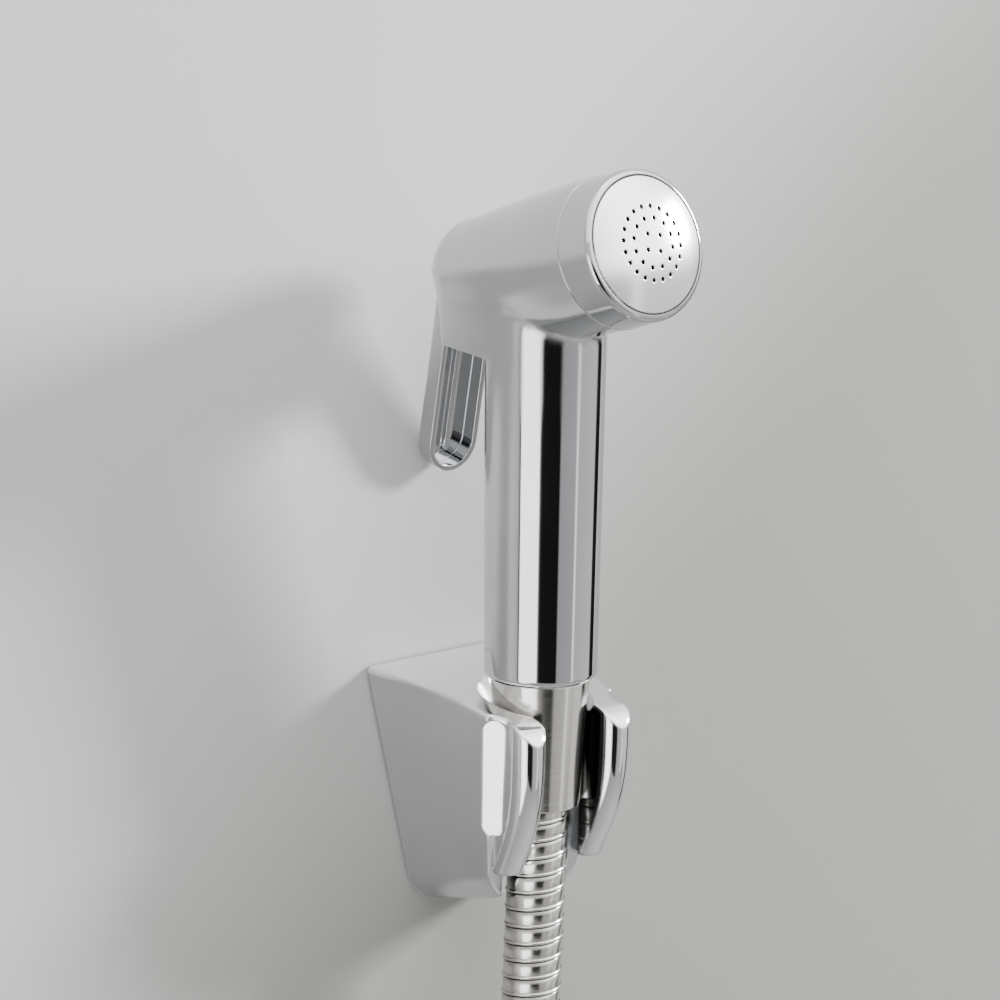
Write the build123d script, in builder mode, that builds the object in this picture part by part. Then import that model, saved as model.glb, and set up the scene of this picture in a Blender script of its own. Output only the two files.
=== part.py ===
from build123d import *
import os
from math import atan, cos, pi, radians, sin, sqrt, tan

os.makedirs("parts", exist_ok=True)

# A handheld bidet shower hanging in its wall holder.
# The wall is the plane Y = 0, the room is towards -Y, and +Z is up.
# The origin is the middle of the holder's two screw holes, on the wall.

# Place of the docked handset, in millimetres and degrees
lean = 7.0
rim_reach = 33.2
rim_height = 24.1
running_gap = 0.3
pin_gap = 0.05

# Grip and the bend behind it
grip_radius_bottom = 13.0
grip_radius_top = 13.7
grip_rim_round = 1.8
grip_bore_radius = 8.0
grip_bore_setback = 13.5
# Housing outlines: height over the trigger's pivot, then the back corners' x, y and radius
housing_corners = [(-9.5, 6.0, 24.9, 3.0), (-0.5, 4.5, 23.3, 6.0), (7.5, 0.5, 20.6, 12.5)]

# Nozzle
nozzle_tilt = 16.8
nozzle_reach = 34.6
nozzle_rise = 20.9
# Barrel outlines behind the seam: distance from the face, radius, rise
barrel_sections = [
    (11.9, 17.3, 0.0),
    (24.0, 17.15, 0.0),
    (36.0, 16.3, 0.35),
    (48.0, 14.4, 1.6),
    (59.4, 12.2, 3.0),
]
barrel_radius = 17.3
dome_radius = 12.5
dome_depth = 56.8
dome_rise = 3.05
collar_length = 11.9
collar_front_radius = 15.2
collar_lip_depth = 2.3
collar_lip = 1.3
collar_rim_radius = 16.9
collar_bore_radius = 16.0
collar_front_round = 1.4
seam_gap = 0.1
plate_thickness = 1.2
plate_crown = 0.35
plate_edge_drop = 2.2
plate_flange = 1.4
plate_clearance = 0.1
spray_hole_radius = 0.5
spray_ring_radii = (8.17, 5.54, 2.5)
spray_ring_counts = (20, 12, 4)
spray_ring_angles = (9.0, 15.0, 35.0)
gasket_thickness = 1.2
gasket_inner_radius = 13.0
nozzle_bore_radius = 12.0
nozzle_bore_depth = 20.0
throat_radius = 8.0
throat_depth = 44.0
flow_disc_radius = 13.0
flow_disc_setback = 0.8
flow_disc_thickness = 1.5
flow_disc_holes = 8
flow_disc_hole_radius = 1.5
flow_disc_ring_radius = 9.0

# Trigger, a U-section lever on a pin between the housing's cheeks
pivot_y = 27.0
pivot_height = 83.5
trigger_tilt = 10.0
trigger_width = 14.0
trigger_length = 41.8
trigger_depth = 5.1
trigger_back = 3.85
trigger_wall = 1.3
trigger_web = 1.4
trigger_round = 1.2
trigger_hub_radius = 3.2
trigger_rib_width = 1.6
trigger_rib_height = 1.5
trigger_rib_end = 5.0
trigger_hollow_start = 2.6
pin_radius = 1.25
pin_seat_depth = 1.1
slot_side_gap = 0.4
slot_front = 13.2
slot_hub_gap = 0.7

# Valve, lying across the grip behind the nozzle
valve_arm = 6.0
chamber_radius = 5.0
chamber_length = 13.2
chamber_step_radius = 4.4
chamber_step_length = 9.0
seat_thickness = 2.5
seat_hole_radius = 2.7
bonnet_length = 5.7
stem_radius = 1.5
stem_tip = 15.2
stem_tip_round = 0.7
stem_flange_radius = 3.4
stem_flange_thickness = 1.5
disc_radius = 3.8
disc_thickness = 2.0
o_ring_wire_radius = 0.48
o_ring_groove_width = 1.2
spring_wire_radius = 0.3
spring_radius = 2.6
spring_turns = 4
riser_radius = 2.3
riser_in_y = -5.0
riser_out_y = 5.0

# Cone nut and the hose end inside it
nut_length = 30.2
nut_radius_top = 11.44
nut_radius_bottom = 9.5
nut_chamfer = 0.4
nut_thread_radius = 10.2
nut_thread_depth = 13.0
spigot_length = 9.5
washer_thickness = 2.0
washer_hole_radius = 5.5
tail_flange_thickness = 1.5
tail_neck = 3.0
tail_bore_radius = 3.5
ferrule_wall = 0.4
ferrule_length = 10.0
nut_hose_gap = 0.1

# Hose, its coil and its wall end
hose_straight = 94.0
hose_bends = [(-22.0, -10.0, -182.0), (-52.0, -10.0, -234.0)]
hose_radius = 7.0
coil_radius = 70.0
coil_pitch = 14.6
coil_turns = 2
coil_entry_angle = 150.0
coil_exit_angle = 180.0
hose_end_overlap = 20.0
hose_end_length = 46.0
tie_width = 9.0
tie_thickness = 1.2
tie_angle = 60.0
hex_nut_flats = 24.0
hex_nut_height = 14.0
hex_nut_chamfer = 1.0
hex_nut_back = 3.0
bottom_ferrule_wall = 1.3
bottom_ferrule_length = 14.0
bottom_tail_flange = 2.0
bottom_washer_thickness = 2.0
thread_relief = 0.3

# Wall holder
bracket_top = 27.2
bracket_bottom = 30.6
bracket_half_width_top = 24.3
bracket_half_width_bottom = 15.1
bracket_corner_top = 1.8
bracket_corner_bottom = 9.0
bracket_depth = 38.0
bracket_draft = 6.0
bracket_wall = 2.5
bracket_edge_round = 1.0
top_dip = 7.6
top_radius = 173.5
channel_gap = 0.3
slot_half_width = 9.0
channel_reach = 70.0
funnel_width = 3.2
funnel_top = -2.0
funnel_bottom = -9.0
# Ear outlines: height on the grip's axis, nose reach, outer half width
ear_sections = [
    (3.0, 14.3, 15.7),
    (-9.0, 14.7, 15.7),
    (-18.0, 14.6, 15.5),
    (-27.0, 13.5, 14.9),
    (-35.0, 10.8, 13.9),
    (-43.5, 6.6, 12.6),
]
ear_nose_length = 6.4
ear_inner_round = 4.4
# Where the ears' top starts to round over, where it ends, and how far it drops
ear_round_start = 41.8
ear_round_end = 46.7
ear_round_drop = 5.8
# Scoop in the block's front beside each ear: its ends in the grip's frame, and its radius
scoop_top = (17.6, -4.6, -9.4)
scoop_bottom = (14.9, -1.4, -32.6)
scoop_radius = 2.6
ear_root = 16.0
front_top_reach = 36.6
front_bottom_reach = 24.8
# Web between the block's front corner and the ear, in the grip's frame
web_bottom = -7.6
web_corners = [(14.5, -9.0), (14.5, 0.0), (17.4, 0.0), (18.3, -3.0)]
screw_spacing = 28.0
screw_hole_radius = 2.25
boss_radius = 6.5

# Heights on the grip's axis that follow the trigger's pivot
housing_height = pivot_height + housing_corners[0][0]
nozzle_height = pivot_height + nozzle_rise
valve_height = pivot_height - valve_arm
grip_bore_height = valve_height - grip_bore_setback

# Working planes: the grip's own axis, its side view, and the nozzle's axis
up_grip = Vector(0, -sin(radians(lean)), cos(radians(lean)))
grip = Plane(origin=(0, -rim_reach, rim_height), x_dir=(1, 0, 0), z_dir=up_grip)
side = Plane(origin=grip.origin, x_dir=grip.y_dir, z_dir=(1, 0, 0))
grip_axis = Axis(grip.origin, grip.z_dir)
face_centre = side.from_local_coords(Vector(-nozzle_reach, nozzle_height, 0))
out_angle = radians(nozzle_tilt - lean)
nozzle = Plane(origin=face_centre, x_dir=(1, 0, 0), z_dir=(0, -cos(out_angle), sin(out_angle)))
barrel_side = Plane(origin=face_centre, x_dir=-nozzle.z_dir, z_dir=(1, 0, 0))
nozzle_axis = Axis(face_centre, nozzle.z_dir)


def save(part, label):
    """Label a finished piece and write it as parts/label.step."""
    part.label = label
    export_step(part, f"parts/{label}.step")


def ring(plane, inner, outer, start, end):
    """A plain ring around a plane's axis, from height start to height end."""
    with BuildPart() as blank:
        with BuildSketch(plane.offset(start)):
            Circle(outer)
            Circle(inner, mode=Mode.SUBTRACT)
        extrude(amount=end - start)
    return blank.part


# Places that several pieces share, in the grip's side view
valve = Plane(
    origin=side.from_local_coords(Vector(slot_front, valve_height, 0)),
    x_dir=(1, 0, 0),
    z_dir=grip.y_dir,
)
pivot_point = side.from_local_coords(Vector(pivot_y, pivot_height, 0))
blade_tilt = radians(trigger_tilt + lean)
blade = Plane(origin=pivot_point, x_dir=(1, 0, 0), z_dir=(0, cos(blade_tilt), sin(blade_tilt)))
slot_half = trigger_width / 2 + slot_side_gap
pin_half = slot_half + pin_seat_depth
flange_front = collar_lip_depth + collar_lip
flange_back = flange_front + plate_flange
spigot_front = flange_back + gasket_thickness
flow_disc_front = spigot_front + flow_disc_setback
flow_disc_back = flow_disc_front + flow_disc_thickness
disc_front = -chamber_length - running_gap
flange_inner = disc_front - disc_thickness - stem_flange_thickness
chamber_end = -chamber_length - chamber_step_length
hose_top = -(nut_thread_depth + tail_neck)
dome_centre = barrel_side.from_local_coords(Vector(dome_depth, dome_rise, 0))


def nut_radius(height):
    """Outer radius of the cone nut at a height on the grip's axis."""
    return nut_radius_top + (nut_radius_top - nut_radius_bottom) * height / nut_length


def housing_outline(height, corner_x, corner_y, corner_radius):
    """Plan outline of the housing: the grip's circle drawn back to two corners."""
    with BuildSketch(grip.offset(height)) as outline:
        Circle(grip_radius_top)
        with Locations((corner_x, corner_y), (-corner_x, corner_y)):
            Circle(corner_radius)
        make_hull()
    return outline.sketch


def barrel_outline(depth, radius, rise):
    """Round outline of the barrel at a depth behind the face."""
    with BuildSketch(nozzle.offset(-depth)) as outline:
        with Locations((0, rise)):
            Circle(radius)
    return outline.sketch


# Handle: tapered grip, trigger housing and nozzle barrel, moulded in one piece
housing = loft([housing_outline(pivot_height + rise, *back) for rise, *back in housing_corners])
barrel = loft([barrel_outline(*section) for section in barrel_sections])
with BuildPart() as handle_body:
    with BuildSketch(side):
        with BuildLine():
            Polyline(
                (0, housing_height),
                (0, 0),
                (grip_radius_bottom, 0),
                (grip_radius_top, housing_height),
                close=True,
            )
        make_face()
        corner = Vector(grip_radius_bottom, 0)
        fillet(vertices().sort_by_distance(corner)[0], grip_rim_round)
    revolve(axis=grip_axis)
    add(housing)
    add(barrel)
    with Locations(dome_centre):
        Sphere(dome_radius)
    # Spigots for the collar and for the cone nut's thread
    with BuildSketch(nozzle.offset(-collar_length)):
        Circle(collar_bore_radius)
    extrude(amount=collar_length - spigot_front)
    with BuildSketch(grip):
        Circle(nut_thread_radius)
    extrude(amount=-spigot_length)
    # Water way up the grip, and the nozzle's bore
    with BuildSketch(grip.offset(-spigot_length)):
        Circle(grip_bore_radius)
    extrude(amount=spigot_length + grip_bore_height, mode=Mode.SUBTRACT)
    with BuildSketch(nozzle.offset(-spigot_front)):
        Circle(flow_disc_radius)
    extrude(amount=-(flow_disc_back - spigot_front), mode=Mode.SUBTRACT)
    with BuildSketch(nozzle.offset(-flow_disc_back)):
        Circle(nozzle_bore_radius)
    extrude(amount=-(nozzle_bore_depth - flow_disc_back), mode=Mode.SUBTRACT)
    with BuildSketch(nozzle.offset(-nozzle_bore_depth)):
        Circle(throat_radius)
    extrude(amount=-(throat_depth - nozzle_bore_depth), mode=Mode.SUBTRACT)
    # Open slot for the trigger, rounded over its hub
    with BuildSketch(side):
        with BuildLine():
            hub_clear = trigger_hub_radius + slot_hub_gap
            below = valve_height - chamber_radius - slot_hub_gap
            Line((slot_front, below), (slot_front, pivot_height + hub_clear))
            Line((slot_front, pivot_height + hub_clear), (pivot_y, pivot_height + hub_clear))
            CenterArc((pivot_y, pivot_height), hub_clear, 90, -90)
            Line((pivot_y + hub_clear, pivot_height), (3 * grip_radius_top, pivot_height))
            Line((3 * grip_radius_top, pivot_height), (3 * grip_radius_top, below))
            Line((3 * grip_radius_top, below), (slot_front, below))
        make_face()
    extrude(amount=slot_half, both=True, mode=Mode.SUBTRACT)
    with BuildSketch(Plane(origin=pivot_point, x_dir=grip.y_dir, z_dir=(1, 0, 0))):
        Circle(pin_radius)
    extrude(amount=pin_half, both=True, mode=Mode.SUBTRACT)
    # Valve chamber with a step for the seat, and its way in and out
    with BuildSketch(valve):
        Circle(chamber_radius)
    extrude(amount=-chamber_length, mode=Mode.SUBTRACT)
    with BuildSketch(valve.offset(-chamber_length)):
        Circle(chamber_step_radius)
    extrude(amount=-chamber_step_length, mode=Mode.SUBTRACT)
    with BuildSketch(grip.offset(grip_bore_height)):
        with Locations((0, riser_in_y)):
            Circle(riser_radius)
    extrude(amount=valve_height - grip_bore_height, mode=Mode.SUBTRACT)
    with BuildSketch(grip.offset(valve_height)):
        with Locations((0, riser_out_y)):
            Circle(riser_radius)
    extrude(amount=pivot_height + hub_clear - valve_height, mode=Mode.SUBTRACT)
save(handle_body.part, "handle_body")

# Collar: screw ring whose lip holds the face plate
with BuildPart() as head_collar:
    with BuildSketch(barrel_side):
        with BuildLine():
            Polyline(
                (collar_lip_depth, collar_front_radius),
                (flange_front, collar_front_radius),
                (flange_front, collar_bore_radius),
                (collar_length - seam_gap, collar_bore_radius),
                (collar_length - seam_gap, barrel_radius - seam_gap / 2),
                (collar_lip_depth, collar_rim_radius),
                close=True,
            )
        make_face()
        rim = Vector(collar_lip_depth, collar_rim_radius)
        fillet(vertices().sort_by_distance(rim)[0], collar_front_round)
    revolve(axis=nozzle_axis)
save(head_collar.part, "head_collar")

# Face plate: a shallow dome with a flange behind the collar's lip
plate_edge_radius = collar_front_radius - plate_clearance
inner_edge_radius = plate_edge_radius - plate_thickness
with BuildPart() as spray_plate:
    with BuildSketch(barrel_side):
        with BuildLine():
            Line((plate_thickness - plate_crown, 0), (-plate_crown, 0))
            TangentArc((-plate_crown, 0), (plate_edge_drop, plate_edge_radius), tangent=(0, 1))
            Polyline(
                (plate_edge_drop, plate_edge_radius),
                (flange_front, plate_edge_radius),
                (flange_front, collar_bore_radius - plate_clearance),
                (flange_back, collar_bore_radius - plate_clearance),
                (flange_back, inner_edge_radius),
                (plate_edge_drop + plate_thickness, inner_edge_radius),
            )
            TangentArc(
                (plate_thickness - plate_crown, 0),
                (plate_edge_drop + plate_thickness, inner_edge_radius),
                tangent=(0, 1),
            )
        make_face()
    revolve(axis=nozzle_axis)
    with BuildSketch(nozzle.offset(plate_crown)):
        for radius, count, first_angle in zip(spray_ring_radii, spray_ring_counts, spray_ring_angles):
            with PolarLocations(radius, count, start_angle=first_angle):
                Circle(spray_hole_radius)
    extrude(amount=-(plate_crown + plate_edge_drop + plate_thickness), mode=Mode.SUBTRACT)
save(spray_plate.part, "spray_plate")

# Rubber ring between the plate's flange and the barrel's spigot
save(
    ring(nozzle, gasket_inner_radius, collar_bore_radius - plate_clearance, -spigot_front, -flange_back),
    "plate_gasket",
)

# Disc that spreads the water behind the plate
with BuildPart() as flow_disc:
    with BuildSketch(nozzle.offset(-flow_disc_front)):
        Circle(flow_disc_radius)
        with PolarLocations(flow_disc_ring_radius, flow_disc_holes):
            Circle(flow_disc_hole_radius, mode=Mode.SUBTRACT)
    extrude(amount=-flow_disc_thickness)
save(flow_disc.part, "flow_disc")

# Trigger: a channel open towards the grip, with a rounded end, a rib and a hub
with BuildPart() as trigger_lever:
    with BuildSketch(blade.offset(trigger_back)):
        with Locations((0, trigger_length / 2 - trigger_width / 4)):
            Rectangle(trigger_width, trigger_length - trigger_width / 2)
        with Locations((0, trigger_length - trigger_width / 2)):
            Circle(trigger_width / 2)
    extrude(amount=-trigger_depth)
    back_edges = edges().group_by(Axis(blade.origin, blade.z_dir))[-1]
    fillet(back_edges, trigger_round)
    hollow_width = trigger_width - 2 * trigger_wall
    hollow_end = trigger_length - trigger_wall - hollow_width / 2
    with BuildSketch(blade.offset(trigger_back - trigger_web)):
        with Locations((0, (trigger_hollow_start + hollow_end) / 2)):
            Rectangle(hollow_width, hollow_end - trigger_hollow_start)
        with Locations((0, hollow_end)):
            Circle(hollow_width / 2)
    extrude(amount=-trigger_depth, mode=Mode.SUBTRACT)
    # Rib down the middle of the hollow, which also pushes the stem
    with BuildSketch(blade.offset(trigger_back - trigger_web)):
        rib_end = trigger_length - trigger_rib_end
        with Locations((0, (trigger_hollow_start + rib_end) / 2)):
            Rectangle(trigger_rib_width, rib_end - trigger_hollow_start)
        with Locations((0, rib_end)):
            Circle(trigger_rib_width / 2)
    extrude(amount=-trigger_rib_height)
    with BuildSketch(Plane(origin=pivot_point, x_dir=grip.y_dir, z_dir=(1, 0, 0))):
        Circle(trigger_hub_radius)
    extrude(amount=trigger_width / 2, both=True)
    with BuildSketch(Plane(origin=pivot_point, x_dir=grip.y_dir, z_dir=(1, 0, 0))):
        Circle(pin_radius + pin_gap)
    extrude(amount=trigger_width, both=True, mode=Mode.SUBTRACT)
save(trigger_lever.part, "trigger_lever")

# Pin through the trigger's hub, pressed into both cheeks
with BuildPart() as trigger_pin:
    with BuildSketch(Plane(origin=pivot_point, x_dir=grip.y_dir, z_dir=(1, 0, 0))):
        Circle(pin_radius)
    extrude(amount=pin_half, both=True)
save(trigger_pin.part, "trigger_pin")

# Valve: seat ring, bonnet with two seals, stem, disc and spring
seat_back = -chamber_length + seat_thickness
save(ring(valve, seat_hole_radius, chamber_radius, -chamber_length, seat_back), "valve_seat")
outer_groove_floor = chamber_radius - 2 * o_ring_wire_radius
inner_groove_floor = stem_radius + pin_gap + 2 * o_ring_wire_radius
seal_centre = -bonnet_length / 2
with BuildPart() as valve_bonnet:
    with BuildSketch(valve.offset(-bonnet_length)):
        Circle(chamber_radius)
        Circle(stem_radius + pin_gap, mode=Mode.SUBTRACT)
    extrude(amount=bonnet_length)
    with BuildSketch(valve.offset(seal_centre)):
        Circle(chamber_radius + o_ring_wire_radius)
        Circle(outer_groove_floor, mode=Mode.SUBTRACT)
        Circle(inner_groove_floor)
    extrude(amount=o_ring_groove_width / 2, both=True, mode=Mode.SUBTRACT)
save(valve_bonnet.part, "valve_bonnet")


def o_ring(plane, centre_radius):
    """Seal ring around a plane's axis."""
    with BuildPart() as seal:
        with Locations(plane.location):
            Torus(centre_radius, o_ring_wire_radius)
    return seal.part


save(o_ring(valve.offset(seal_centre), chamber_radius - o_ring_wire_radius), "bonnet_o_ring")
save(o_ring(valve.offset(seal_centre), inner_groove_floor - o_ring_wire_radius), "stem_o_ring")

with BuildPart() as valve_stem:
    with BuildSketch(valve.offset(flange_inner)):
        Circle(stem_flange_radius)
    extrude(amount=stem_flange_thickness)
    with BuildSketch(valve.offset(flange_inner)):
        Circle(stem_radius)
    extrude(amount=stem_tip - flange_inner)
    tip = faces().sort_by(Axis(valve.origin, valve.z_dir))[-1]
    fillet(tip.edges(), stem_tip_round)
save(valve_stem.part, "valve_stem")
save(ring(valve, stem_radius, disc_radius, disc_front - disc_thickness, disc_front), "valve_disc")

spring_length = flange_inner - running_gap - chamber_end
with BuildPart() as valve_spring:
    with BuildLine():
        spring_height = spring_length - 2 * spring_wire_radius
        wire = Helix(
            spring_height / spring_turns,
            spring_height,
            spring_radius,
            center=valve.offset(chamber_end + spring_wire_radius).origin,
            direction=valve.z_dir,
        )
    with BuildSketch(Plane(origin=wire @ 0, z_dir=wire % 0)):
        Circle(spring_wire_radius)
    sweep(is_frenet=True)
save(valve_spring.part, "valve_spring")

# Cone nut, threaded at the top and closed to the hose below
with BuildPart() as cone_nut:
    with BuildSketch(side):
        with BuildLine():
            bottom_hole = hose_radius + ferrule_wall + nut_hose_gap
            Polyline(
                (nut_thread_radius, 0),
                (nut_radius_top, 0),
                (nut_radius_bottom, -nut_length),
                (bottom_hole, -nut_length),
                (bottom_hole, -nut_thread_depth),
                (nut_thread_radius, -nut_thread_depth),
                close=True,
            )
        make_face()
        bottom_corner = Vector(nut_radius_bottom, -nut_length)
        chamfer(vertices().sort_by_distance(bottom_corner)[0], nut_chamfer)
    revolve(axis=grip_axis)
save(cone_nut.part, "cone_nut")

# Sealed hose end in the nut: washer, flanged tail and crimped ferrule
washer_bottom = -spigot_length - washer_thickness
tail_radius = nut_thread_radius - plate_clearance
save(ring(grip, washer_hole_radius, tail_radius, washer_bottom, -spigot_length), "top_washer")
with BuildPart() as top_hose_tail:
    with BuildSketch(grip.offset(-nut_thread_depth)):
        Circle(tail_radius)
    extrude(amount=tail_flange_thickness)
    with BuildSketch(grip.offset(-nut_thread_depth)):
        Circle(hose_radius)
    extrude(amount=-tail_neck)
    with BuildSketch(grip.offset(hose_top)):
        Circle(tail_bore_radius)
    extrude(amount=tail_neck + tail_flange_thickness, mode=Mode.SUBTRACT)
save(top_hose_tail.part, "top_hose_tail")
save(
    ring(grip, hose_radius, hose_radius + ferrule_wall, hose_top - ferrule_length, -nut_thread_depth),
    "top_ferrule",
)

# Hose route: straight out of the nut, then two gentle turns into the coil
route_points = [
    grip.from_local_coords(Vector(0, 0, hose_top)),
    grip.from_local_coords(Vector(0, 0, hose_top - hose_straight)),
    *[Vector(*bend) for bend in hose_bends],
]


def bend_radii(points):
    """Arc at each inner point: 0.45 of the shorter run over the tangent of half the turn."""
    radii = []
    for before, here, after in zip(points, points[1:], points[2:]):
        shorter = min((here - before).length, (after - here).length)
        turn = radians((here - before).get_angle(after - here))
        radii.append(0.45 * shorter / tan(turn / 2))
    return radii


radii = bend_radii(route_points)
print("hose bend radii", [round(radius, 1) for radius in radii])
with BuildPart() as hose:
    with BuildLine() as route:
        FilletPolyline(*route_points, radius=radii)
    with BuildSketch(Plane(origin=route_points[0], z_dir=route_points[1] - route_points[0])):
        Circle(hose_radius)
    sweep()
hose_length = route.wires()[0].length
print("hose volume over section times length", hose.part.volume / (pi * hose_radius**2 * hose_length))
save(hose.part, "hose")

# Coil of the length that is put away, hanging flat along the wall
entry = route_points[-1]
entry_angle = radians(coil_entry_angle)
coil_centre = entry - coil_radius * Vector(cos(entry_angle), 0, sin(entry_angle))
turns = coil_turns + (coil_exit_angle - coil_entry_angle) / 360
coil_front = entry.Y - turns * coil_pitch
coil_width = entry.Y - coil_front + 2 * hose_radius
coil_middle = (entry.Y + coil_front) / 2
with BuildPart() as hose_coil:
    with BuildSketch(Plane.YZ.offset(coil_centre.X)):
        with Locations((coil_middle, coil_centre.Z + coil_radius)):
            SlotOverall(coil_width, 2 * hose_radius)
    revolve(axis=Axis((coil_centre.X, coil_middle, coil_centre.Z), (0, 1, 0)))
save(hose_coil.part, "hose_coil")

# Band around the coil
tie = radians(tie_angle)
tie_plane = Plane(
    origin=coil_centre + Vector(coil_radius * cos(tie), coil_middle - entry.Y, coil_radius * sin(tie)),
    x_dir=(0, 1, 0),
    z_dir=(-sin(tie), 0, cos(tie)),
)
with BuildPart() as coil_tie:
    with BuildSketch(tie_plane.offset(-tie_width / 2)):
        SlotOverall(coil_width + 2 * tie_thickness, 2 * (hose_radius + tie_thickness))
    extrude(amount=tie_width)
    add(hose_coil.part, mode=Mode.SUBTRACT)
save(coil_tie.part, "coil_tie")

# Wall end of the hose, hanging from the coil
end_start = Vector(coil_centre.X - coil_radius, coil_front, coil_centre.Z - hose_end_overlap)
hose_end_plane = Plane(origin=end_start, x_dir=(1, 0, 0), z_dir=(0, 0, -1))
with BuildPart() as hose_end:
    with BuildSketch(hose_end_plane):
        Circle(hose_radius)
    extrude(amount=hose_end_length)
save(hose_end.part, "hose_end")
total_length = hose_length + turns * 2 * pi * coil_radius + hose_end_overlap + hose_end_length
print("hose length", round(total_length, 1), "from", route_points[0], "to", end_start, hose_end_length)
washer_start = hose_end_length + bottom_tail_flange
washer_end = washer_start + bottom_washer_thickness
save(ring(hose_end_plane, tail_bore_radius, tail_radius, hose_end_length, washer_start), "bottom_hose_tail")
ferrule_outer = hose_radius + bottom_ferrule_wall
ferrule_start = hose_end_length - bottom_ferrule_length
save(ring(hose_end_plane, hose_radius, ferrule_outer, ferrule_start, hose_end_length), "bottom_ferrule")
with BuildPart() as bottom_hex_nut:
    nut_back = hose_end_length - hex_nut_back
    with BuildSketch(hose_end_plane.offset(nut_back)):
        RegularPolygon(hex_nut_flats / 2, 6, major_radius=False)
    extrude(amount=hex_nut_height)
    end_faces = faces().sort_by(Axis.Z)
    chamfer([*end_faces[0].edges(), *end_faces[-1].edges()], hex_nut_chamfer)
    with BuildSketch(hose_end_plane.offset(nut_back)):
        Circle(ferrule_outer + nut_hose_gap)
    extrude(amount=hex_nut_height, mode=Mode.SUBTRACT)
    with BuildSketch(hose_end_plane.offset(hose_end_length)):
        Circle(nut_thread_radius)
    extrude(amount=hex_nut_height, mode=Mode.SUBTRACT)
    # Relief behind the thread, around the tail's flange and the washer
    with BuildSketch(hose_end_plane.offset(hose_end_length)):
        Circle(nut_thread_radius + thread_relief)
    extrude(amount=washer_end - hose_end_length, mode=Mode.SUBTRACT)
save(bottom_hex_nut.part, "bottom_hex_nut")
save(ring(hose_end_plane, washer_hole_radius, tail_radius, washer_start, washer_end), "bottom_washer")


def top_height(reach):
    """Height of the holder's top at a reach from the wall, on an arc that dips away from it."""
    dip = radians(top_dip)
    along = reach + top_radius * sin(dip)
    return bracket_top - top_radius * cos(dip) + sqrt(top_radius**2 - along**2)


def ear_outline(height, nose, outer):
    """Plan outline of the right ear: flat to the slot, rounded at the nose."""
    tip_x = slot_half_width + 0.45 * (outer - slot_half_width)
    with BuildSketch(grip.offset(height)) as outline:
        with BuildLine():
            Line((slot_half_width, ear_root - nose), (slot_half_width, ear_inner_round - nose))
            ThreePointArc(
                (slot_half_width, ear_inner_round - nose),
                (tip_x, -nose),
                (outer, ear_nose_length - nose),
            )
            Line((outer, ear_nose_length - nose), (outer, ear_root - nose))
            Line((outer, ear_root - nose), (slot_half_width, ear_root - nose))
        make_face()
    return outline.sketch


def shield(reach, inset):
    """Holder's outline at a reach from the wall, drawn inside by an inset."""
    spread = (bracket_half_width_top - bracket_half_width_bottom) / (bracket_top + bracket_bottom)
    edge_inset = inset / cos(atan(spread))
    upper = bracket_half_width_top - edge_inset - spread * inset
    lower = bracket_half_width_bottom - edge_inset + spread * inset
    with BuildSketch(Plane.XZ.offset(reach)) as outline:
        with BuildLine():
            Polyline(
                (-upper, bracket_top - inset),
                (upper, bracket_top - inset),
                (lower, inset - bracket_bottom),
                (-lower, inset - bracket_bottom),
                close=True,
            )
        make_face()
        fillet(vertices().group_by(Axis.Y)[0], bracket_corner_bottom)
        fillet(vertices().group_by(Axis.Y)[-1], bracket_corner_top)
    return outline.sketch


def flank(inset):
    """Side view of the holder: wall, curved top and slanting front."""
    near = front_top_reach - inset
    slope = (front_top_reach - front_bottom_reach) / (top_height(front_top_reach) + bracket_bottom)
    low = -2 * bracket_bottom
    foot = near - slope * (top_height(near) - low)
    with BuildSketch(Plane.YZ) as outline:
        with BuildLine():
            Line((0, low), (0, bracket_top - inset))
            ThreePointArc(
                (0, bracket_top - inset),
                (-near / 2, top_height(near / 2) - inset),
                (-near, top_height(near) - inset),
            )
            Line((-near, top_height(near) - inset), (-foot, low))
            Line((-foot, low), (0, low))
        make_face()
    return extrude(outline.sketch, amount=2 * bracket_half_width_top, both=True)


def scoop():
    """Round-ended groove beside the right ear."""
    top = grip.from_local_coords(Vector(*scoop_top))
    bottom = grip.from_local_coords(Vector(*scoop_bottom))
    with BuildPart() as groove:
        with BuildSketch(Plane(origin=bottom, z_dir=top - bottom)):
            Circle(scoop_radius)
        extrude(amount=(top - bottom).length)
        with Locations(top, bottom):
            Sphere(scoop_radius)
    return groove.part


# Hollow behind the holder's skin, around the channel's wall and the screw bosses
right_ear = loft([ear_outline(*section) for section in ear_sections])
left_ear = mirror(right_ear, about=Plane.YZ)
right_scoop = scoop()
left_scoop = mirror(right_scoop, about=Plane.YZ)
draft_inset = bracket_depth * tan(radians(bracket_draft))
outer_block = loft([shield(0, 0), shield(bracket_depth, draft_inset)]) & flank(0)
inner_front = shield(bracket_depth, bracket_wall + draft_inset)
inner_block = loft([shield(0, bracket_wall), inner_front]) & flank(bracket_wall)
with BuildPart() as hollow:
    add(inner_block)
    with BuildSketch(grip.offset(-channel_reach)):
        Circle(nut_radius_top + channel_gap + bracket_wall)
        with Locations((0, -bracket_depth / 2)):
            Rectangle(2 * (slot_half_width + bracket_wall), bracket_depth)
    extrude(amount=2 * channel_reach, mode=Mode.SUBTRACT)
    with BuildSketch(Plane.XZ):
        with GridLocations(0, screw_spacing, 1, 2):
            Circle(boss_radius)
    extrude(amount=bracket_depth, mode=Mode.SUBTRACT)
    add(right_ear, mode=Mode.SUBTRACT)
    add(left_ear, mode=Mode.SUBTRACT)

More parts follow.
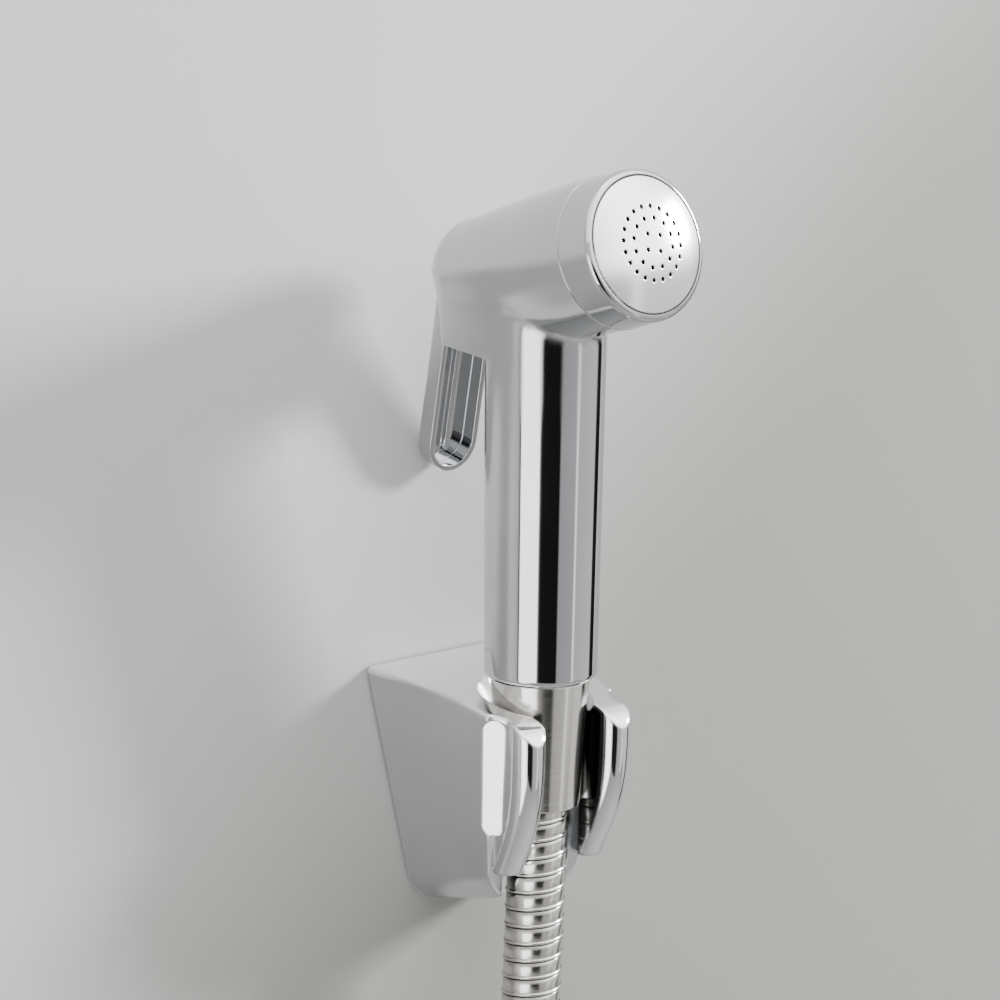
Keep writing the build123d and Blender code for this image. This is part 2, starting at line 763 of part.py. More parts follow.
# Holder: tapering block with two ears and a channel for the cone nut between them
with BuildPart() as wall_bracket:
    add(outer_block)
    fillet(edges().filter_by(Plane.XZ, reverse=True), bracket_edge_round)
    add(right_ear)
    add(left_ear)
    # Webs that carry the block's top out to the ears, over the scoops
    with BuildSketch(grip.offset(web_bottom)):
        with BuildLine():
            Polyline(*web_corners, close=True)
        make_face()
        mirror(about=Plane.YZ)
    extrude(amount=-2 * web_bottom)
    add(right_scoop, mode=Mode.SUBTRACT)
    add(left_scoop, mode=Mode.SUBTRACT)
    # Top, curving down from the wall over the block and rounding over the ears
    with BuildSketch(Plane.YZ):
        with BuildLine():
            far = ear_round_start
            above = 2 * bracket_top
            Line((0, above), (0, bracket_top))
            brow = (-far, top_height(far))
            crest = ThreePointArc((0, bracket_top), (-far / 2, top_height(far / 2)), brow)
            nose_end = (-ear_round_end, top_height(far) - ear_round_drop)
            TangentArc(brow, nose_end, tangent=crest % 1)
            Line(nose_end, (-2 * far, nose_end[1]))
            Line((-2 * far, nose_end[1]), (-2 * far, above))
            Line((-2 * far, above), (0, above))
        make_face()
    extrude(amount=2 * bracket_half_width_top, both=True, mode=Mode.SUBTRACT)
    add(hollow.part, mode=Mode.SUBTRACT)
    # Channel: a cone that follows the nut, a funnel over it and the slot in front
    with BuildSketch(side):
        with BuildLine():
            Polyline(
                (0, -funnel_top),
                (nut_radius(0) + funnel_width, -funnel_top),
                (nut_radius(0) + channel_gap + funnel_width, funnel_top),
                (nut_radius(funnel_bottom) + channel_gap, funnel_bottom),
                (nut_radius_bottom + channel_gap, -nut_length),
                (nut_radius_bottom + channel_gap, -channel_reach),
                (0, -channel_reach),
                close=True,
            )
        make_face()
    revolve(axis=grip_axis, mode=Mode.SUBTRACT)
    with BuildSketch(grip.offset(-channel_reach)):
        with Locations((0, -bracket_depth / 2)):
            Rectangle(2 * slot_half_width, bracket_depth)
    extrude(amount=2 * channel_reach, mode=Mode.SUBTRACT)
    # Screw holes through the back of the channel
    with BuildSketch(Plane.XZ):
        with GridLocations(0, screw_spacing, 1, 2):
            Circle(screw_hole_radius)
    extrude(amount=bracket_depth, mode=Mode.SUBTRACT)
save(wall_bracket.part, "wall_bracket")
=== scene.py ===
from math import cos, pi, radians, sin

import bmesh
import bpy
import numpy as np
from mathutils import Matrix, Vector


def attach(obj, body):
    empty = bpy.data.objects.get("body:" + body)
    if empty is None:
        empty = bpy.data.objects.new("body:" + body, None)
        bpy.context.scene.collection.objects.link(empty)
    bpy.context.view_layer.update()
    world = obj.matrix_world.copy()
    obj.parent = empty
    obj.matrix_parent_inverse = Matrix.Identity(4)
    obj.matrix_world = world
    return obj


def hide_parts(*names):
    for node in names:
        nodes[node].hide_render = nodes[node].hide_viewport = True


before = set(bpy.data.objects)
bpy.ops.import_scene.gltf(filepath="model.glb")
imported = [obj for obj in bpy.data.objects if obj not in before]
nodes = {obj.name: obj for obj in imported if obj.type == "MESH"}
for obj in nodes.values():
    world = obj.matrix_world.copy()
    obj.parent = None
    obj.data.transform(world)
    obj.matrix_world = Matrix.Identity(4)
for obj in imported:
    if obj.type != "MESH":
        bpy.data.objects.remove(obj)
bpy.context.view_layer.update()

# The camera at the photograph's angle, from the left front and a little above
CAMERA_TARGET = Vector((-0.001688, -0.024997, 0.064392))
CAMERA_DISTANCE = 0.9
CAMERA_LENS_MM = 141.84
CAMERA_SENSOR_MM = 36.0
towards_camera = Vector((-0.63595, -0.76101, 0.1282)).normalized()
camera_up = Vector((0.132, 0.05641, 0.98964))
camera_right = camera_up.cross(towards_camera).normalized()
camera_up = towards_camera.cross(camera_right)
camera_data = bpy.data.cameras.new("camera")
camera_data.sensor_width = CAMERA_SENSOR_MM
camera_data.lens = CAMERA_LENS_MM
camera_data.clip_end = 20.0
camera = bpy.data.objects.new("camera", camera_data)
bpy.context.scene.collection.objects.link(camera)
place = Matrix((camera_right, camera_up, towards_camera)).transposed().to_4x4()
place.translation = CAMERA_TARGET + towards_camera * CAMERA_DISTANCE
camera.matrix_world = place
bpy.context.scene.camera = camera

# Hose: nut, wall holder, gentle bends, coil of spare hose and its wall end
HOSE_PITCH = 0.00412
HOSE_SIDES = 32
SPLINE_STEPS = 12
SAME_POINT = 1e-7
COIL_CENTRE = (0.00862, -0.010, -0.269)
COIL_RADIUS = 0.0707
COIL_STEP = 0.0146
COIL_FIRST, COIL_LAST, COIL_POINTS = 158, 892, 34

# One turn of the wound strip: place within the pitch, radius, and the share of painted shade,
# darkest in the groove
STRIP = np.array(
    [
        (0.00, 0.00655, 1.0),
        (0.05, 0.00672, 0.25),
        (0.38, 0.00675, 0.0),
        (0.71, 0.00672, 0.1),
        (0.76, 0.00668, 0.5),
        (0.80, 0.00698, 0.0),
        (0.91, 0.00700, 0.0),
        (0.955, 0.00640, 1.0),
    ]
)


def coil_loop(first, last, points):
    """Points of a round coil, between two angles in degrees: a circle in the wall's plane that
    creeps off the wall by the coil's step with each turn."""
    angle = np.radians(np.linspace(first, last, points))
    turns = (angle - angle[0]) / (2 * pi)
    return np.stack(
        [
            COIL_CENTRE[0] + COIL_RADIUS * np.cos(angle),
            COIL_CENTRE[1] - COIL_STEP * turns,
            COIL_CENTRE[2] + COIL_RADIUS * np.sin(angle),
        ],
        axis=1,
    )


hose_route = [
    (0.0, -0.03125, 0.00822),
    (0.0, -0.019794, -0.08508),
    (-0.022, -0.010, -0.182),
    (-0.052, -0.010, -0.234),
    *map(tuple, coil_loop(COIL_FIRST, COIL_LAST, COIL_POINTS)),
    (-0.061378, -0.040417, -0.289),
    (-0.061378, -0.040417, -0.335),
]


def spline_points(name, route, steps):
    """Points along a smooth NURBS curve whose control points are the route."""
    curve = bpy.data.curves.new(name, "CURVE")
    curve.dimensions = "3D"
    curve.resolution_u = steps
    spline = curve.splines.new("NURBS")
    spline.points.add(len(route) - 1)
    for point, (x, y, z) in zip(spline.points, route):
        point.co = (x, y, z, 1.0)
    spline.order_u = 3
    spline.use_endpoint_u = True
    holder = bpy.data.objects.new(name, curve)
    line = bpy.data.meshes.new_from_object(holder)
    points = np.empty(len(line.vertices) * 3)
    line.vertices.foreach_get("co", points)
    bpy.data.objects.remove(holder)
    bpy.data.curves.remove(curve)
    bpy.data.meshes.remove(line)
    return points.reshape(-1, 3)


def unit(rows):
    """Each row divided by its own length."""
    return rows / np.linalg.norm(rows, axis=-1, keepdims=True)


def travelling_frame(points):
    """Distance along a line, its direction, and a side direction that never twists about it."""
    steps = np.diff(points, axis=0)
    along = np.concatenate([[0.0], np.cumsum(np.linalg.norm(steps, axis=1))])
    tangent = unit(np.gradient(points, along, axis=0))
    side = np.empty_like(points)
    current = np.cross(tangent[0], (0.0, 1.0, 0.0))
    for row, direction in enumerate(tangent):
        current = current - direction * np.dot(current, direction)
        current = current / np.linalg.norm(current)
        side[row] = current
    return along, tangent, side


def looked_up(distance, along, rows):
    """Rows of a table of three columns at any distances along its line."""
    return np.stack([np.interp(distance, along, rows[:, k]) for k in range(3)], axis=-1)


def surface(name, points, faces, groove):
    """A new piece from its points, its faces and a painted groove shade value at each point."""
    mesh = bpy.data.meshes.new(name)
    mesh.from_pydata(points.tolist(), [], faces.tolist())
    layer = mesh.attributes.new("groove", "FLOAT", "POINT")
    layer.data.foreach_set("value", groove)
    mesh.update()
    piece = bpy.data.objects.new(name, mesh)
    bpy.context.scene.collection.objects.link(piece)
    return piece


def close_up(mesh):
    """Merge a mesh's equal points, drop what that leaves with no area, fill its two ends and turn
    its faces outwards."""
    shell = bmesh.new()
    shell.from_mesh(mesh)
    bmesh.ops.remove_doubles(shell, verts=shell.verts, dist=SAME_POINT)
    bmesh.ops.dissolve_degenerate(shell, edges=shell.edges, dist=SAME_POINT)
    loose = [vertex for vertex in shell.verts if not vertex.link_faces]
    bmesh.ops.delete(shell, geom=loose, context="VERTS")
    edges = [edge for edge in shell.edges if edge.is_boundary]
    bmesh.ops.holes_fill(shell, edges=edges, sides=0)
    bmesh.ops.recalc_face_normals(shell, faces=shell.faces)
    shell.to_mesh(mesh)
    shell.free()
    mesh.shade_smooth()


def wound_hose(name, path, sides):
    """Hose of a wound strip: radius follows the strip's profile, and distance along the line is
    pitch times the whole turns, the place in the profile and the share of the way round. The
    last side of each turn meets the first side of the next, one whole profile further on."""
    along, tangent, side = travelling_frame(path)
    length = along[-1]
    turns = round(length / HOSE_PITCH)
    place, radius, groove_shade = STRIP.T
    rows = (np.arange(-1, turns + 1)[:, None] + place).ravel()
    radius = np.tile(radius, turns + 2)
    groove_shade = np.tile(groove_shade, turns + 2)
    share = np.arange(sides) / sides
    distance = np.clip((rows[:, None] + share) * length / turns, 0.0, length)
    centre = looked_up(distance, along, path)
    forward = unit(looked_up(distance, along, tangent))
    first = looked_up(distance, along, side)
    first = unit(first - forward * (first * forward).sum(-1, keepdims=True))
    second = np.cross(forward, first)
    turn = 2 * pi * share[None, :, None]
    points = centre + radius[:, None, None] * (first * np.cos(turn) + second * np.sin(turn))

    count, per_turn = len(rows), len(place)
    index = np.arange(count * sides).reshape(count, sides)
    here, below = index[:-1], index[1:]
    faces = np.stack([here[:, :-1], here[:, 1:], below[:, 1:], below[:, :-1]], axis=-1)
    last = index[: count - per_turn, -1]
    following = index[per_turn:, 0]
    seam = np.stack([last[:-1], following[:-1], following[1:], last[1:]], axis=-1)
    faces = np.concatenate([faces.reshape(-1, 4), seam.reshape(-1, 4)])
    piece = surface(name, points.reshape(-1, 3), faces, np.repeat(groove_shade, sides))
    close_up(piece.data)
    return piece


hose_path = spline_points("hose_line", hose_route, SPLINE_STEPS)
hose = wound_hose("wound_hose", hose_path, HOSE_SIDES)

# Nodes: small helpers whose inputs are other nodes' sockets or constants


def node_material(name):
    """A new node material, with its node tree and its shader."""
    material = bpy.data.materials.new(name)
    material.use_nodes = True
    tree = material.node_tree
    return material, tree, tree.nodes["Principled BSDF"]


def add_node(tree, kind, **settings):
    """A node of a kind, with its settings and its sockets' values."""
    node = tree.nodes.new(kind)
    for key, value in settings.items():
        if key in node.inputs:
            node.inputs[key].default_value = value
        else:
            setattr(node, key, value)
    return node


def feed(tree, socket, value):
    """Link a socket from another one, or set it to a constant."""
    if isinstance(value, bpy.types.NodeSocket):
        tree.links.new(value, socket)
    else:
        socket.default_value = value


def numbers(tree, operation, *values):
    """The result of a maths node."""
    node = add_node(tree, "ShaderNodeMath", operation=operation)
    for socket, value in zip(node.inputs, values):
        feed(tree, socket, value)
    return node.outputs["Value"]


def vectors(tree, operation, *values):
    """The result of a vector maths node: a number where it measures, and else a vector."""
    node = add_node(tree, "ShaderNodeVectorMath", operation=operation)
    sockets = [node.inputs[0], node.inputs["Scale" if operation == "SCALE" else 1]]
    for socket, value in zip(sockets, values):
        feed(tree, socket, value)
    measures = operation in ("DOT_PRODUCT", "DISTANCE", "LENGTH")
    return node.outputs["Value" if measures else "Vector"]


def blended(tree, factor, first, second, kind="RGBA"):
    """A colour or a vector between two, by a factor. A mix node has several sockets of each
    name, so they are picked by kind."""
    node = add_node(tree, "ShaderNodeMix", data_type=kind)
    sockets = [socket for socket in node.inputs if socket.type == kind and socket.name in "AB"]
    feed(tree, node.inputs["Factor"], factor)
    for socket, value in zip(sockets, (first, second)):
        feed(tree, socket, (*value, 1.0) if isinstance(value, tuple) else value)
    return next(socket for socket in node.outputs if socket.type == kind)


def spread(tree, source, low, high, start=0.3, end=0.7):
    """A value carried from a range to low and high: unless stated, from a pattern's middle."""
    node = add_node(
        tree,
        "ShaderNodeMapRange",
        **{"From Min": start, "From Max": end, "To Min": low, "To Max": high},
    )
    feed(tree, node.inputs["Value"], source)
    return node.outputs["Result"]


def object_place(tree):
    """The piece's own coordinates."""
    return add_node(tree, "ShaderNodeTexCoord").outputs["Object"]


def object_pattern(tree, scale, stretch=(1.0, 1.0, 1.0), turn=(0.0, 0.0, 0.0), detail=2.0):
    """A noise pattern on the piece's own coordinates, turned and stretched."""
    mapping = add_node(tree, "ShaderNodeMapping", Rotation=turn, Scale=stretch)
    noise = add_node(tree, "ShaderNodeTexNoise", Scale=scale, Detail=detail)
    feed(tree, mapping.inputs["Vector"], object_place(tree))
    feed(tree, noise.inputs["Vector"], mapping.outputs["Vector"])
    return noise.outputs["Fac"]


# Surfaces: colour, gloss and normals

BEVEL_SAMPLES = 8
PLATED_EDGE = 0.0004
TURNED_EDGE = 0.0003
# Inside a groove: how far the normals turn, and where that fades, in shares of its radius
GROOVE_TURN = 0.85
GROOVE_FADE_START, GROOVE_FADE_END = 1.01, 1.04


def coloured(tree, shader, pattern, dark, light, gloss):
    """A colour and a roughness that both follow a pattern."""
    tint = blended(tree, spread(tree, pattern, 0.0, 1.0), dark, light)
    feed(tree, shader.inputs["Base Color"], tint)
    feed(tree, shader.inputs["Roughness"], spread(tree, pattern, *gloss))


def recoloured(material, factor, colour):
    """Turn a material's own colour into another where a factor says so."""
    tree = material.node_tree
    base = tree.nodes["Principled BSDF"].inputs["Base Color"]
    feed(tree, base, blended(tree, factor, base.links[0].from_socket, colour))


def roughen(tree, shader, height, strength, distance, under=None):
    """A small bump from a height pattern, over another normal where one is given."""
    bump = add_node(tree, "ShaderNodeBump", Strength=strength, Distance=distance)
    feed(tree, bump.inputs["Height"], height)
    if under:
        feed(tree, bump.inputs["Normal"], under)
    feed(tree, shader.inputs["Normal"], bump.outputs["Normal"])


def rounded(tree, edge, corner=None):
    """Normals rounded over edges by a small radius, or a larger one near a corner's middle."""
    node = add_node(tree, "ShaderNodeBevel", samples=BEVEL_SAMPLES, Radius=edge)
    if corner:
        middle, radius, near, far = corner
        distance = vectors(tree, "DISTANCE", object_place(tree), middle)
        feed(tree, node.inputs["Radius"], spread(tree, distance, radius, edge, near, far))
    return node.outputs["Normal"]


def flattened(tree, normal, groove):
    """Normals turned most of the way to one facing inside a round groove, and inside its mirror
    image across X = 0. A point is inside by its distance to the groove's middle line."""
    foot, along, length, radius, facing = groove
    own = add_node(tree, "ShaderNodeSeparateXYZ")
    feed(tree, own.inputs["Vector"], object_place(tree))
    x, y, z = own.outputs
    folded = add_node(tree, "ShaderNodeCombineXYZ")
    for socket, value in zip(folded.inputs, (numbers(tree, "ABSOLUTE", x), y, z)):
        feed(tree, socket, value)
    from_foot = vectors(tree, "SUBTRACT", folded.outputs["Vector"], foot)
    kept = add_node(tree, "ShaderNodeClamp", Max=length)
    feed(tree, kept.inputs["Value"], vectors(tree, "DOT_PRODUCT", from_foot, along))
    nearest = vectors(tree, "SCALE", along, kept.outputs["Result"])
    reach = vectors(tree, "DISTANCE", from_foot, nearest)
    start, end = GROOVE_FADE_START * radius, GROOVE_FADE_END * radius
    within = spread(tree, reach, GROOVE_TURN, 0.0, start, end)
    target = add_node(tree, "ShaderNodeCombineXYZ", Y=facing[1], Z=facing[2])
    outwards = numbers(tree, "MULTIPLY", numbers(tree, "SIGN", x), facing[0])
    feed(tree, target.inputs["X"], outwards)
    mixed = blended(tree, within, normal, target.outputs["Vector"], "VECTOR")
    return vectors(tree, "NORMALIZE", mixed)


def plated(name, dark, light, gloss, ripple, edge=PLATED_EDGE, corner=None, groove=None):
    """Bright plating: even metal with faint cloudy gloss and a slow ripple, over softened edges."""
    material, tree, shader = node_material(name)
    shader.inputs["Metallic"].default_value = 1.0
    cloud = object_pattern(tree, scale=60.0, detail=3.0)
    coloured(tree, shader, cloud, dark, light, gloss)
    normal = rounded(tree, edge, corner)
    if groove:
        normal = flattened(tree, normal, groove)
    slow = object_pattern(tree, scale=25.0)
    roughen(tree, shader, slow, strength=0.2, distance=ripple, under=normal)
    return material


def turned(name, dark, light, gloss, turn, stretch):
    """Turned metal: fine lines round an axis, drawn by a noise stretched across it."""
    material, tree, shader = node_material(name)
    shader.inputs["Metallic"].default_value = 1.0
    lines = object_pattern(tree, scale=2500.0, stretch=stretch, turn=turn)
    coloured(tree, shader, lines, dark, light, gloss)
    normal = rounded(tree, TURNED_EDGE)
    roughen(tree, shader, lines, strength=0.1, distance=0.00003, under=normal)
    return material


def moulded(name, dark, light, gloss, grain):
    """Moulded plastic or rubber: fine grain over a slow change of tone."""
    material, tree, shader = node_material(name)
    cloud = object_pattern(tree, scale=90.0, detail=4.0)
    coloured(tree, shader, cloud, dark, light, gloss)
    roughen(tree, shader, object_pattern(tree, scale=1400.0), strength=0.3, distance=grain)
    return material


def wound_strip(name):
    """Wound steel strip: warm bright bands, brushed, and darkened by painted shade in the groove.
    """
    material, tree, shader = node_material(name)
    shader.inputs["Metallic"].default_value = 1.0
    brushed = object_pattern(tree, scale=500.0, detail=3.0)
    coloured(tree, shader, brushed, (0.62, 0.60, 0.57), (0.74, 0.72, 0.69), gloss=(0.16, 0.26))
    # Painted shade: the groove attribute darkens the strip to near black in the groove
    groove = add_node(tree, "ShaderNodeAttribute", attribute_name="groove")
    recoloured(material, groove.outputs["Fac"], (0.05, 0.047, 0.043))
    roughen(tree, shader, brushed, strength=0.1, distance=0.00004)
    return material


# The bend between grip and barrel: its middle, rounding radius, and where that fades out
BEND = ((0.0, -0.048, 0.104), 0.0035, 0.018, 0.026)
# The ears: their middle, rounding radius, and where that fades out
EARS = ((0.0, -0.046, 0.005), 0.0013, 0.028, 0.034)
EARS_EDGE = 0.0006
# The scoops beside them: lower end, direction, length, radius, and the way that the floor faces
SCOOPS = (
    (0.0149, -0.03061, -0.00843),
    (0.1145, -0.2549, 0.9601),
    0.02358,
    0.0026,
    (0.83, -0.56, 0.0),
)
GRIP_LEAN = (radians(-7.0), 0.0, 0.0)

# The collar's painted gap shadow: the face's middle, its tilt, and the shadow's reach from the
# face's axis
NOZZLE_FACE = (0.0, -0.08027, 0.1235)
NOZZLE_TILT = radians(9.8)
GAP_SHADOW_START, GAP_SHADOW_END = 0.0154, 0.0158
GAP_SHADOW_COLOUR = (0.04, 0.04, 0.04)
# The holder: roughness and distances from the wall, a painted highlight on upward faces, and
# painted shade in its channel
SATIN, POLISHED = 0.20, 0.06
BLOCK_END, CHANNEL_MOUTH, EARS_START = 0.031, 0.036, 0.037
TOP_HIGHLIGHT_START, TOP_HIGHLIGHT_END = 0.3, 0.9
TOP_HIGHLIGHT_COLOUR = (0.96, 0.96, 0.96)
CHANNEL_SIDE, CHANNEL_EDGE = 0.00905, 0.0094
CHANNEL_SHADE_COLOUR = (0.03, 0.03, 0.03)


def gap_shadowed(material):
    """Paint the shadow in the gap where the face plate meets the collar's lip: a point's distance
    from the nozzle's axis is the length of the axis crossed with the way from the face to the
    point."""
    tree = material.node_tree
    axis = (0.0, -cos(NOZZLE_TILT), sin(NOZZLE_TILT))
    from_face = vectors(tree, "SUBTRACT", object_place(tree), NOZZLE_FACE)
    off_axis = vectors(tree, "LENGTH", vectors(tree, "CROSS_PRODUCT", from_face, axis))
    recoloured(material, spread(tree, off_axis, 1.0, 0.0, GAP_SHADOW_START, GAP_SHADOW_END), GAP_SHADOW_COLOUR)


def zoned_with_painted_light(material):
    """The holder's zones: satin on its block, polished on its ears, with a painted highlight where
    it faces up and painted shade in its channel."""
    tree = material.node_tree
    roughness = tree.nodes["Principled BSDF"].inputs["Roughness"]
    own_normal = add_node(tree, "ShaderNodeTexCoord").outputs["Normal"]
    out_from_wall = vectors(tree, "DOT_PRODUCT", object_place(tree), (0.0, -1.0, 0.0))
    to_right = vectors(tree, "DOT_PRODUCT", object_place(tree), (1.0, 0.0, 0.0))
    upward = vectors(tree, "DOT_PRODUCT", own_normal, (0.0, 0.0, 1.0))
    feed(tree, roughness, spread(tree, out_from_wall, SATIN, POLISHED, BLOCK_END, EARS_START))
    # Painted highlight: faces that point up are lightened
    recoloured(material, spread(tree, upward, 0.0, 1.0, TOP_HIGHLIGHT_START, TOP_HIGHLIGHT_END), TOP_HIGHLIGHT_COLOUR)
    # Painted shade: the channel's inner faces between the ears are darkened
    sideways = numbers(tree, "ABSOLUTE", to_right)
    between = spread(tree, sideways, 1.0, 0.0, CHANNEL_SIDE, CHANNEL_EDGE)
    beyond = spread(tree, out_from_wall, 0.0, 1.0, CHANNEL_MOUTH, EARS_START)
    recoloured(material, numbers(tree, "MULTIPLY", between, beyond), CHANNEL_SHADE_COLOUR)


# Each finish: its colours where the pattern is low and high, and its roughness there
HEAD_CHROME = ((0.50, 0.508, 0.522), (0.545, 0.553, 0.567), (0.03, 0.06))
FACE_CHROME = ((0.92, 0.92, 0.93), (0.97, 0.97, 0.98), (0.17, 0.22))
NUT_CHROME = ((0.66, 0.66, 0.67), (0.74, 0.74, 0.75), (0.06, 0.12))
HOLDER_CHROME = ((0.68, 0.69, 0.70), (0.73, 0.74, 0.75), (0.05, 0.10))
NICKEL = ((0.66, 0.64, 0.61), (0.72, 0.70, 0.67), (0.15, 0.19))
STEEL = ((0.50, 0.50, 0.51), (0.66, 0.66, 0.67), (0.2, 0.35))
BRASS = ((0.62, 0.45, 0.20), (0.75, 0.58, 0.30), (0.18, 0.3))
RUBBER = ((0.012, 0.012, 0.013), (0.022, 0.022, 0.024), (0.5, 0.7))
INNER_PLASTIC = ((0.10, 0.10, 0.10), (0.14, 0.14, 0.14), (0.4, 0.55))
TIE_PLASTIC = ((0.015, 0.015, 0.016), (0.03, 0.03, 0.032), (0.45, 0.6))

handset_chrome = plated("handset_chrome", *HEAD_CHROME, ripple=0.00003, corner=BEND)
collar_chrome = plated("collar_chrome", *HEAD_CHROME, ripple=0.00002)
face_chrome = plated("face_chrome", *FACE_CHROME, ripple=0.00002)
nut_chrome = plated("nut_chrome", *NUT_CHROME, ripple=0.00002)
holder_chrome = plated("holder_chrome", *HOLDER_CHROME, 0.00003, EARS_EDGE, EARS, SCOOPS)
nut_nickel = turned("nut_nickel", *NICKEL, turn=GRIP_LEAN, stretch=(0.01, 0.01, 1.0))
steel = turned("steel", *STEEL, turn=GRIP_LEAN, stretch=(1.0, 1.0, 1.0))
brass = turned("brass", *BRASS, turn=GRIP_LEAN, stretch=(0.05, 1.0, 0.05))
seal_rubber = moulded("seal_rubber", *RUBBER, grain=0.0001)
inner_plastic = moulded("inner_plastic", *INNER_PLASTIC, grain=0.0001)
tie_plastic = moulded("tie_plastic", *TIE_PLASTIC, grain=0.0002)
hose_steel = wound_strip("hose_steel")
# Painted shadow in the gap between the face plate and the collar's lip
gap_shadowed(collar_chrome)
# The holder gets its painted highlight on top and painted shade in its channel
zoned_with_painted_light(holder_chrome)

FINISHES = {
    "wall_bracket": holder_chrome,
    "handle_body": handset_chrome,
    "head_collar": collar_chrome,
    "trigger_lever": handset_chrome,
    "spray_plate": face_chrome,
    "plate_gasket": seal_rubber,
    "flow_disc": inner_plastic,
    "trigger_pin": steel,
    "valve_seat": inner_plastic,
    "valve_bonnet": brass,
    "bonnet_o_ring": seal_rubber,
    "stem_o_ring": seal_rubber,
    "valve_stem": brass,
    "valve_disc": seal_rubber,
    "valve_spring": steel,
    "cone_nut": nut_nickel,
    "top_washer": seal_rubber,
    "top_hose_tail": brass,
    "top_ferrule": steel,
    "hose": hose_steel,
    "hose_coil": hose_steel,
    "coil_tie": tie_plastic,
    "hose_end": hose_steel,
    "bottom_hose_tail": brass,
    "bottom_ferrule": nut_chrome,
    "bottom_hex_nut": nut_chrome,
    "bottom_washer": seal_rubber,
}
for node_name, finish in FINISHES.items():
    slots = nodes[node_name].data.materials
    if len(slots):
        for slot in range(len(slots)):
            slots[slot] = finish
    else:
        slots.append(finish)

hose.data.materials.append(hose_steel)
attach(hose, "handset")
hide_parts("hose", "hose_coil", "hose_end")

# Studio: pale wall and floor with painted shade, soft lights and a banded sky for the chrome
WALL_GAP = 0.0006
TOUCHING = 0.0015
FLOOR_HEIGHT = -0.95
# Painted shade on the wall and floor: its direction, and where it starts and ends along it
PAINTED_SHADE_DIRECTION = (-1.0, 0.0, 1.1)
FADE_START, FADE_END = -0.06, 0.15
MOTTLE_SHARE = 0.04
PAINT_ROUGHNESS = 0.85


def card(name, centre, right, up, width, height):
    """A flat rectangle about a centre, facing right crossed with up."""
    right, up = Vector(right).normalized() * width / 2, Vector(up).normalized() * height / 2
    centre = Vector(centre)
    corners = [centre - right - up, centre + right - up, centre + right + up, centre - right + up]
    mesh = bpy.data.meshes.new(name)
    mesh.from_pydata([tuple(corner) for corner in corners], [], [(0, 1, 2, 3)])
    piece = bpy.data.objects.new(name, mesh)
    bpy.context.scene.collection.objects.link(piece)
    return piece


def matt_paint_with_painted_shade(name, pale, dark):
    """Matt paint, faintly mottled, with painted shade that takes it from pale to dark downwards and
    to the right.
    """
    material, tree, shader = node_material(name)
    shader.inputs["Roughness"].default_value = PAINT_ROUGHNESS
    height = vectors(tree, "DOT_PRODUCT", object_place(tree), PAINTED_SHADE_DIRECTION)
    fade = spread(tree, height, 0.0, 1.0, FADE_START, FADE_END)
    fade.node.interpolation_type = "SMOOTHSTEP"
    mottle = object_pattern(tree, scale=4.0)
    share = numbers(tree, "MULTIPLY_ADD", mottle, MOTTLE_SHARE, fade)
    feed(tree, shader.inputs["Base Color"], blended(tree, share, dark, pale))
    return material


def one_sided(material):
    """Leave a card out from behind, and for light that comes off what stands against it."""
    tree = material.node_tree
    length = add_node(tree, "ShaderNodeLightPath").outputs["Ray Length"]
    behind = add_node(tree, "ShaderNodeNewGeometry").outputs["Backfacing"]
    unseen = numbers(tree, "MAXIMUM", numbers(tree, "LESS_THAN", length, TOUCHING), behind)
    clear = add_node(tree, "ShaderNodeBsdfTransparent")
    choice = add_node(tree, "ShaderNodeMixShader")
    shaders = (tree.nodes["Principled BSDF"].outputs["BSDF"], clear.outputs["BSDF"])
    for socket, value in zip(choice.inputs, (unseen, *shaders)):
        feed(tree, socket, value)
    feed(tree, tree.nodes["Material Output"].inputs["Surface"], choice.outputs["Shader"])
    return material


wall = card("wall", (0.0, WALL_GAP, 0.35), (1, 0, 0), (0, 0, 1), 5.0, 2.5)
# The wall's painted shade takes it from pale to dark downwards and to the right
wall_paint = matt_paint_with_painted_shade("wall_paint", (0.90, 0.90, 0.89), (0.41, 0.41, 0.395))
wall.data.materials.append(one_sided(wall_paint))
# The floor has the same painted shade, faint
floor = card("floor", (0.0, 0.0, FLOOR_HEIGHT), (1, 0, 0), (0, 1, 0), 2.8, 2.8)
floor.data.materials.append(matt_paint_with_painted_shade("floor_paint", (0.70, 0.70, 0.69), (0.66, 0.66, 0.65)))


def softbox(name, place, aim, size, watts):
    """A square light at a place, turned to a point."""
    data = bpy.data.lights.new(name, "AREA")
    data.shape = "RECTANGLE"
    data.size = data.size_y = size
    data.energy = watts
    light = bpy.data.objects.new(name, data)
    bpy.context.scene.collection.objects.link(light)
    light.location = place
    light.rotation_mode = "QUATERNION"
    light.rotation_quaternion = (Vector(aim) - Vector(place)).to_track_quat("-Z", "Y")


softbox("top_box", (-0.25, -0.45, 0.75), (-0.02, -0.02, 0.12), size=1.0, watts=4.0)
softbox("key_box", (1.16, -0.60, 0.42), (0.0, -0.02, 0.05), size=0.26, watts=25.0)

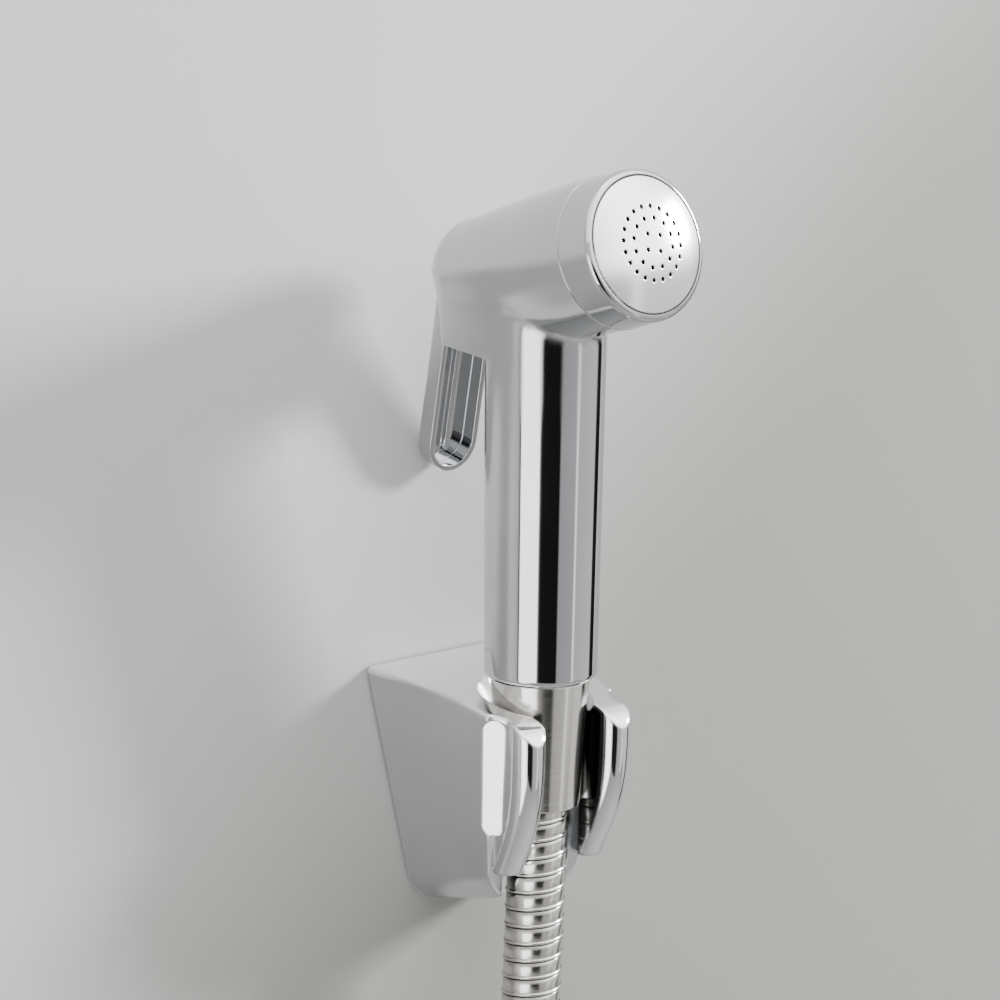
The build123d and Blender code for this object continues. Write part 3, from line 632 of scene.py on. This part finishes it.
# Compass angle in degrees and brightness, from the left round by the camera and the right to
# behind the wall: below the horizon, and overhead
BANDS = [
    (-180, 0.05),
    (-178, 0.05),
    (-177, 4.4),
    (-142, 4.2),
    (-140, 0.3),
    (-136, 0.02),
    (-101, 0.015),
    (-98, 0.60),
    (-66, 0.70),
    (-64, 2.0),
    (-61, 2.0),
    (-59, 0.9),
    (-15, 1.05),
    (-12, 0.02),
    (2, 0.02),
    (20, 0.4),
    (170, 0.45),
]
OVERHEAD = [
    (-180, 1.0),
    (-120, 1.1),
    (-90, 2.05),
    (-64, 4.2),
    (-40, 4.2),
    (-12, 2.05),
    (10, 1.0),
    (180, 1.0),
]
HORIZON_START, HORIZON_END = -0.04, 0.10
BACKDROP = (0.51, 0.51, 0.505)


def ring_of_light(sky, way_round, levels):
    """Grey by the share of the way round: pairs of an angle in degrees and a brightness there."""
    ramp = add_node(sky, "ShaderNodeValToRGB")
    stops = ramp.color_ramp.elements
    for stop, (angle, level) in zip(stops, (levels[0], levels[-1])):
        stop.position = (angle + 180.0) / 360.0
        stop.color = (level, level, level, 1.0)
    for angle, level in levels[1:-1]:
        stops.new((angle + 180.0) / 360.0).color = (level, level, level, 1.0)
    feed(sky, ramp.inputs["Fac"], way_round)
    return ramp.outputs["Color"]


world = bpy.data.worlds.new("studio")
bpy.context.scene.world = world
world.use_nodes = True
sky = world.node_tree
direction = add_node(sky, "ShaderNodeSeparateXYZ")
feed(sky, direction.inputs["Vector"], add_node(sky, "ShaderNodeTexCoord").outputs["Generated"])
compass = numbers(sky, "ARCTAN2", direction.outputs["Y"], direction.outputs["X"])
way_round = spread(sky, compass, 0.0, 1.0, -pi, pi)
above = spread(sky, direction.outputs["Z"], 0.0, 1.0, HORIZON_START, HORIZON_END)
rings = [ring_of_light(sky, way_round, levels) for levels in (BANDS, OVERHEAD)]
# The backdrop itself is plain: the bands are only seen in the metal
in_metal = add_node(sky, "ShaderNodeLightPath").outputs["Is Glossy Ray"]
seen = blended(sky, in_metal, BACKDROP, blended(sky, above, *rings))
feed(sky, sky.nodes["Background"].inputs["Color"], seen)
